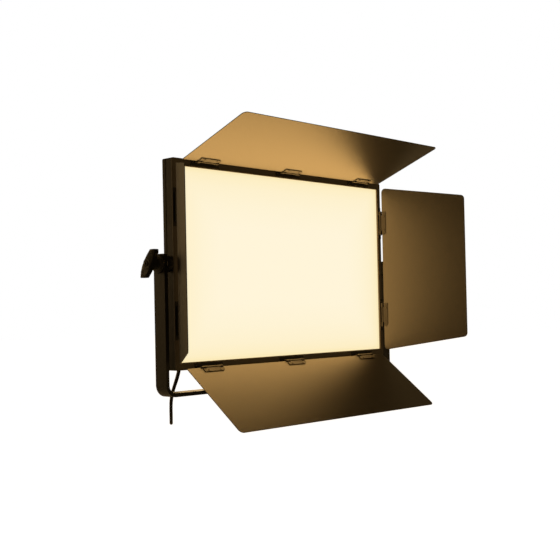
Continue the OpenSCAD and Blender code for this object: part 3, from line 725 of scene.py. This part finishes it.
ARM_X = 370.0
LEVER_OUTLINE = [
    (-9, 28), (0, 17), (9, 5.5), (15.5, -3.5), (19.5, -14), (21.5, -28),
    (7.6, -28), (0, -18.5), (-6, -10.5), (-23.3, 20.5), (-23.3, 28),
]


def make_lever():
    """The moulded clamping handle, its hub with a knurled flange, and the screw in its face."""
    handle = Shape()
    handle.prism([pivot_point(-401, y, z) for y, z in LEVER_OUTLINE], Vector((0.012, 0, 0)), 0.0014)
    handle.turned([
        (0.0105, -0.0010), (0.0105, 0.0004), (0.0098, 0.0011), (0.0062, 0.0011), (0.0058, 0.0003),
        (0.0, 0.0003),
    ], pivot_point(-401, 0, 0), (-1, 0, 0))
    for k in range(4):
        lean = Matrix.Rotation(math.radians(-12), 3, "X")
        rib = pivot_point(-401, 16.2 - 0.6 * k, -23.5 + 3.2 * k)
        handle.block(rib, (0.0012, 0.009, 0.0012), 0.0005, lean)
        handle.block(pivot_point(-401, -16.2, 24.0 - 3.2 * k), (0.0012, 0.009, 0.0012), 0.0005)
    handle.piece("lever_grip", "black_plastic", "tilt_lever", ["lever_handle"])
    hub = Shape()
    hub.turned([
        (0.0172, 0.0), (0.0186, 0.0004), (0.0190, 0.0010), (0.0190, 0.0030), (0.0185, 0.0037),
        (0.0172, 0.0041),
        (0.0138, 0.0044), (0.0126, 0.0056), (0.0116, 0.0110), (0.0112, 0.0192), (0.0, 0.0192),
    ], pivot_point(-ARM_X - 0.4, 0, 0), (-1, 0, 0), 180, 45, 0.0006, (1, 2, 3, 4))
    hub.piece("lever_hub", "black_plastic", "tilt_lever", ["lever_disc"])
    screw = Shape()
    screw.turned([
        (0.0052, -0.0004), (0.0052, 0.0012), (0.0044, 0.0024), (0.0030, 0.0028), (0.0026, 0.0027),
        (0.0025, 0.0012), (0.0, 0.0011),
    ], pivot_point(-401, 0, 0), (-1, 0, 0), 30)
    screw.piece("lever_screw", "screw_black", "tilt_lever")


def make_tension_knob():
    """The round knob of the other tilt bolt, with finger lobes and a dished face."""
    shape = Shape()
    shape.turned([
        (0.0110, 0.0004), (0.0120, 0.0012), (0.0120, 0.0066), (0.0135, 0.0077), (0.0200, 0.0083),
        (0.0214, 0.0094),
        (0.0219, 0.0115), (0.0219, 0.0190), (0.0212, 0.0211), (0.0196, 0.0221), (0.0150, 0.0223),
        (0.0120, 0.0214), (0.0060, 0.0211), (0.0, 0.0211),
    ], pivot_point(ARM_X, 0, 0), (1, 0, 0), 192, 8, 0.0034, (4, 5, 6, 7, 8, 9))
    shape.piece("tension_knob_grip", "black_plastic", "tilt_knob", ["tension_knob"])


def make_lock_knob():
    """The lobed knob that clamps the stand spigot."""
    shape = Shape()
    shape.turned([
        (0.0082, 0.0225), (0.0090, 0.0231), (0.0090, 0.0256), (0.0105, 0.0264), (0.0174, 0.0268),
        (0.0187, 0.0278),
        (0.0190, 0.0300), (0.0188, 0.0360), (0.0178, 0.0386), (0.0160, 0.0396), (0.0100, 0.0398),
        (0.0082, 0.0391), (0.0, 0.0389),
    ], Vector((0.0, 0.0, 0.018)), (0, 1, 0), 180, 6, 0.0042, (4, 5, 6, 7, 8, 9))
    shape.piece("lock_knob_grip", "black_plastic", "stand_lock", ["lock_knob"])


# ---------- back of the panel ----------

CASING_Y = 62.0
FASCIA_Y = 64.0
KNOB_X = -264.0
KNOBS = {"dimmer": ("brightness_knob", 90.0), "tuner": ("colour_knob", 52.0)}
BUTTON_Z = 54.0
BUTTONS = {
    "minus_key": ("button_minus", -228.0),
    "plus_key": ("button_plus", -200.0),
    "menu_key": ("button_menu", -172.0),
}
SOCKET_XS = (-262.0, -228.0)
SOCKET_Z = 22.0
FROM_BEHIND = Matrix(((-1, 0, 0), (0, 0, 1), (0, 1, 0))).transposed()


def make_knobs():
    """Knurled control knobs, the line on each, and the scale printed round them."""
    marks = Shape()
    for body, (node, z) in KNOBS.items():
        knob = Shape()
        knob.turned([
            (0.0098, 0.0004), (0.0104, 0.0008), (0.0105, 0.0022), (0.0099, 0.0029), (0.0090, 0.0033),
            (0.0090, 0.0040), (0.0090, 0.0104), (0.0086, 0.0114), (0.0079, 0.0119), (0.0062, 0.0120),
            (0.0057, 0.0115), (0.0, 0.0114),
        ], pivot_point(KNOB_X, FASCIA_Y, z), (0, 1, 0), 144, 36, 0.0007, (5, 6, 7))
        knob.piece(f"{body}_grip", "knob_plastic", body, [node])
        line = Shape()
        line.block(pivot_point(KNOB_X, FASCIA_Y + 11.9, z + 5.4), (0.0011, 0.0006, 0.0058), 0.0002)
        line.piece(f"{body}_line", "knob_plastic", body, material=MARKS)
        for k in range(11):
            angle = math.radians(-135 + 27 * k)
            turn = Matrix.Rotation(angle, 3, "Y")
            reach = 0.0026 if k % 5 == 0 else 0.0016
            middle = pivot_point(KNOB_X, FASCIA_Y + 0.05, z) + turn @ Vector((0, 0, 0.0128 + reach / 2))
            marks.block(middle, (0.0005, 0.0002, reach), 0.0, turn)
    marks.piece("dial_marks", "fascia", "head", material=MARKS)


def make_buttons():
    """Three domed push buttons with a minus, a plus and a menu mark."""
    signs = {
        "minus_key": [(0, 0, 4.0, 0.8)],
        "plus_key": [(0, 0, 4.0, 0.8), (0, 0, 0.8, 4.0)],
        "menu_key": [(0, 1.5, 4.0, 0.7), (0, 0, 4.0, 0.7), (0, -1.5, 4.0, 0.7)],
    }
    for body, (node, x) in BUTTONS.items():
        key = Shape()
        key.turned([
            (0.0055, 0.0), (0.0055, 0.0026), (0.0052, 0.0032), (0.0045, 0.0035), (0.0030, 0.0037),
            (0.0, 0.0037),
        ], pivot_point(x, 63.5, BUTTON_Z), (0, 1, 0), 40)
        key.piece(f"{body}_cap", "knob_plastic", body, [node])
        sign = Shape()
        for dx, dz, wide, high in signs[body]:
            sign.block(pivot_point(x + dx, 67.2, BUTTON_Z + dz), (wide * MM, 0.0002, high * MM))
        sign.piece(f"{body}_sign", "knob_plastic", body, material=MARKS)


def make_digits():
    """Level and colour temperature on the display."""
    readings = (("level", "75%", -170.5, 85.5, 0.0125), ("warmth", "3200K", -198.5, 86.5, 0.0080))
    for name, text, x, z, size in readings:
        curve = bpy.data.curves.new(f"display_{name}", "FONT")
        curve.body = text
        curve.size = size
        curve.extrude = 0.00004
        curve.materials.append(DIGITS)
        digits = bpy.data.objects.new(f"display_{name}", curve)
        digits.matrix_world = Matrix.Translation(pivot_point(x, FASCIA_Y + 1.08, z)) @ FROM_BEHIND.to_4x4()
        bpy.context.scene.collection.objects.link(digits)
        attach(digits, "head")


def make_socket_inserts():
    """The inner part of both control sockets: one with five pins, one with five holes in a core."""
    insert = Shape()
    pins = Shape()
    for number, x in enumerate(SOCKET_XS):
        floor = pivot_point(x, CASING_Y + 1.0, SOCKET_Z)
        core = 0.0003 if number == 0 else 0.0022
        wide = 0.0094 if number == 0 else 0.0080
        core_rows = [(wide, -0.0002), (wide, core), (wide - 0.0006, core + 0.0003), (0.0, core + 0.0003)]
        insert.turned(core_rows, floor,
                      (0, 1, 0), 40)
        insert.block(floor + Vector((0, 0.0012, 0.0086)), (0.0024, 0.0024, 0.0016), 0.0003)
        for k in range(5):
            angle = math.radians(210 + 60 * k)
            foot = floor + Vector((0.0052 * math.cos(angle), core, 0.0052 * math.sin(angle)))
            reach = 0.0018 if number == 0 else 0.0006
            pin_rows = [(0.0009, 0.0), (0.0009, reach - 0.0003), (0.0005, reach), (0.0, reach)]
            pins.turned(pin_rows, foot, (0, 1, 0), 16)
    insert.piece("socket_inserts", "black_plastic", "head")
    pins.piece("socket_pins", "pin_metal", "head")


GRIP = (60.0, 128.0)
GRIP_HALF = 62.0
GRIP_TOP = 102.0


def make_grab_handle():
    """A bent tube on two screwed feet, with a ribbed rubber sleeve."""
    x, z = GRIP
    frame_tube = Shape()
    foot_top = CASING_Y + 4.1
    half, bend = GRIP_HALF, 14.0
    path = [pivot_point(x - half, foot_top - 0.6, z), pivot_point(x - half, GRIP_TOP - bend, z)]
    for k in range(1, 9):
        a = math.radians(90 * k / 8)
        path.append(pivot_point(
            x - half + bend * (1 - math.cos(a)), GRIP_TOP - bend + bend * math.sin(a), z))
    for k in range(8, 0, -1):
        a = math.radians(90 * k / 8)
        path.append(pivot_point(
            x + half - bend * (1 - math.cos(a)), GRIP_TOP - bend + bend * math.sin(a), z))
    path += [pivot_point(x + half, GRIP_TOP - bend, z), pivot_point(x + half, foot_top - 0.6, z)]
    frame_tube.tube(path, 0.0072, 32)
    for side in (-1, 1):
        frame_tube.block(pivot_point(x + side * half, CASING_Y + 2.05, z), (0.034, 0.0041, 0.024), 0.0012)
        frame_tube.turned([
            (0.0112, 0.0), (0.0108, 0.0008), (0.0086, 0.0022), (0.0078, 0.0040), (0.0072, 0.0044),
        ], pivot_point(x + side * half, foot_top - 0.2, z), (0, 1, 0), 36)
    frame_tube.piece("grab_handle", "hinge_black", "head", ["handle"])
    sleeve = Shape()
    profile = [(0.0073, 0.0), (0.0082, 0.0004), (0.0084, 0.0010)]
    for k in range(14):
        start = 0.0030 + 0.0064 * k
        profile += [
            (0.0084, start), (0.0078, start + 0.0006),
            (0.0078, start + 0.0018), (0.0084, start + 0.0024),
        ]
    profile += [(0.0084, 0.0930), (0.0082, 0.0936), (0.0073, 0.0940)]
    sleeve.turned(profile, pivot_point(x - 47, GRIP_TOP, z), (1, 0, 0), 40)
    sleeve.piece("grab_handle_sleeve", "grip_rubber", "head")


# ---------- front of the panel ----------


def ring_of(width, height, y, corner):
    """A rounded rectangle in the plane of the front, width by height, at y from the tilt axis, in metres."""
    points = []
    for cx, cz, start in ((1, 1, 0), (-1, 1, 90), (-1, -1, 180), (1, -1, 270)):
        for k in range(6):
            a = math.radians(start + 18 * k)
            points.append(PIVOT + Vector((
                cx * (width / 2 - corner) + corner * math.cos(a), y,
                cz * (height / 2 - corner) + corner * math.sin(a))))
    return points


def make_window_lip():
    """The chamfered edge of the bezel, which takes the light of the diffuser. It also wears the bezel's
    lightened paint, which adds painted light on top.
    """
    wide, high = WINDOW
    shape = Shape()
    rings = [
        ring_of(wide + 0.0056, high + 0.0056, -0.0158, 0.0040),
        ring_of(wide + 0.0052, high + 0.0052, -0.0163, 0.0038),
        ring_of(wide + 0.0036, high + 0.0036, -0.0164, 0.0032),
        ring_of(wide, high, -0.0140, 0.0016),
        ring_of(wide, high, -0.0129, 0.0016),
    ]
    shape.skin(rings, capped=False)
    # the lip wears the bezel's lightened paint: painted light on top of the light it really catches
    shape.piece("window_lip", "frame_alloy", "head", material=BEZEL_PAINTED_LIGHT, crease=50.0)


# ---------- edges of the CAD nodes ----------

EDGES = {
    0.0010: ("yoke_bar", "casing"),
    0.0006: ("receiver", "pivot_bosses", "bezel", "control_panel", "switch_bezel"),
    0.0004: (
        "rim", "top_door", "bottom_door", "left_door", "right_door", "receiver_bolt", "cord_hook",
        "power_rocker"),
    0.00025: (
        "heat_sink", "hinge_brackets", "top_leaves", "bottom_leaves", "left_leaves", "right_leaves",
        "display", "data_sockets", "friction_washers"),
}


def paint_light_on_bezel():
    """The bezel takes a base colour several times lighter and warmer than the rim's paint. This is painted
    light standing for the glow it gets from the doors and the diffuser, and it shows as a thin line round the
    window.
    """
    bezel = frame["nodes"]["bezel"]
    bezel.data.materials.clear()
    bezel.data.materials.append(BEZEL_PAINTED_LIGHT)


def soften_edges():
    """The small roundings that folding, casting and painting leave on the rigid nodes."""
    for width, names in EDGES.items():
        for name in names:
            soften(name, width)


# ---------- scene ----------

AMBIENT = (0.146, 0.092, 0.036)
LAMP_COLOUR = (1.0, 0.565, 0.175)
LAMP_WATTS = 3.65
FLOOR_Z = -1.0


def make_world():
    """White to the camera, as a studio sweep is, and a dim warm room to everything else."""
    world = bpy.data.worlds.new("studio")
    world.use_nodes = True
    nodes = world.node_tree.nodes
    links = world.node_tree.links
    nodes.clear()
    output = nodes.new("ShaderNodeOutputWorld")
    mix = nodes.new("ShaderNodeMixShader")
    room = nodes.new("ShaderNodeBackground")
    room.inputs["Color"].default_value = (*AMBIENT, 1.0)
    sweep = nodes.new("ShaderNodeBackground")
    sweep.inputs["Color"].default_value = (1.0, 1.0, 1.0, 1.0)
    path = nodes.new("ShaderNodeLightPath")
    links.new(path.outputs["Is Camera Ray"], mix.inputs["Fac"])
    links.new(room.outputs["Background"], mix.inputs[1])
    links.new(sweep.outputs["Background"], mix.inputs[2])
    links.new(mix.outputs["Shader"], output.inputs["Surface"])
    bpy.context.scene.world = world


def make_floor():
    """A pale floor well below the light, as when it stands on a stand."""
    material = bpy.data.materials.new("pale_floor")
    material.use_nodes = True
    nodes = material.node_tree.nodes
    links = material.node_tree.links
    shader = nodes["Principled BSDF"]
    shader.inputs["Base Color"].default_value = (0.85, 0.85, 0.85, 1.0)
    shader.inputs["Roughness"].default_value = 0.9
    path = nodes.new("ShaderNodeLightPath")
    links.new(path.outputs["Is Camera Ray"], shader.inputs["Emission Strength"])
    shader.inputs["Emission Color"].default_value = (0.97, 0.97, 0.97, 1.0)
    mesh = bpy.data.meshes.new("floor")
    half = 40.0
    outline = [(-half, -half, 0), (half, -half, 0), (half, half, 0), (-half, half, 0)]
    mesh.from_pydata(outline, [], [(0, 1, 2, 3)])
    floor = bpy.data.objects.new("floor", mesh)
    floor.location.z = FLOOR_Z
    mesh.materials.append(material)
    bpy.context.scene.collection.objects.link(floor)


def softbox(name, place, aim, width, height, watts, colour):
    """A flat soft lamp that the camera itself doesn't see."""
    data = bpy.data.lights.new(name, "AREA")
    data.shape = "RECTANGLE"
    data.size = width
    data.size_y = height
    data.energy = watts
    data.color = colour
    light = bpy.data.objects.new(name, data)
    light.visible_camera = False
    light.location = place
    light.rotation_euler = (Vector(aim) - Vector(place)).to_track_quat("-Z", "Y").to_euler()
    bpy.context.scene.collection.objects.link(light)
    return light


def make_lights():
    """The glow that leaves the diffuser, a weak key from the front, and two soft lamps behind."""
    low = corners("diffuser")[0]
    front = Vector((0.0, low.y - 0.0012, PIVOT.z))
    panel = softbox("panel_glow", front, front + Vector((0, -1, 0)), *WINDOW, LAMP_WATTS, LAMP_COLOUR)
    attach(panel, "head")
    softbox("key", (-2.4, -2.6, 2.2), PIVOT, 1.6, 1.6, 3.0, (1.0, 0.66, 0.30))
    softbox("rear_centre", (-0.9, 3.1, 0.8), PIVOT, 1.0, 1.2, 13.0, (1.0, 0.68, 0.32))
    softbox("rear_right", (2.3, 2.0, 0.9), PIVOT, 1.6, 1.6, 30.0, (1.0, 0.68, 0.32))
    frame["nodes"]["diffuser"].visible_diffuse = False
    frame["nodes"]["diffuser"].visible_glossy = False


make_camera()
lead = make_lead()
relief = make_strain_relief()
plug = make_plug()
pins = make_plug_pins()
tie = make_cord_tie()

make_lever()
make_tension_knob()
make_lock_knob()
make_knobs()
make_buttons()
make_digits()
make_socket_inserts()
make_grab_handle()
make_window_lip()
paint_cad_nodes()
# painted light on the bezel: a lighter, warmer base colour than the rim's
paint_light_on_bezel()
soften_edges()
make_world()
make_floor()
make_lights()

bpy.context.scene.view_settings.view_transform = "Standard"
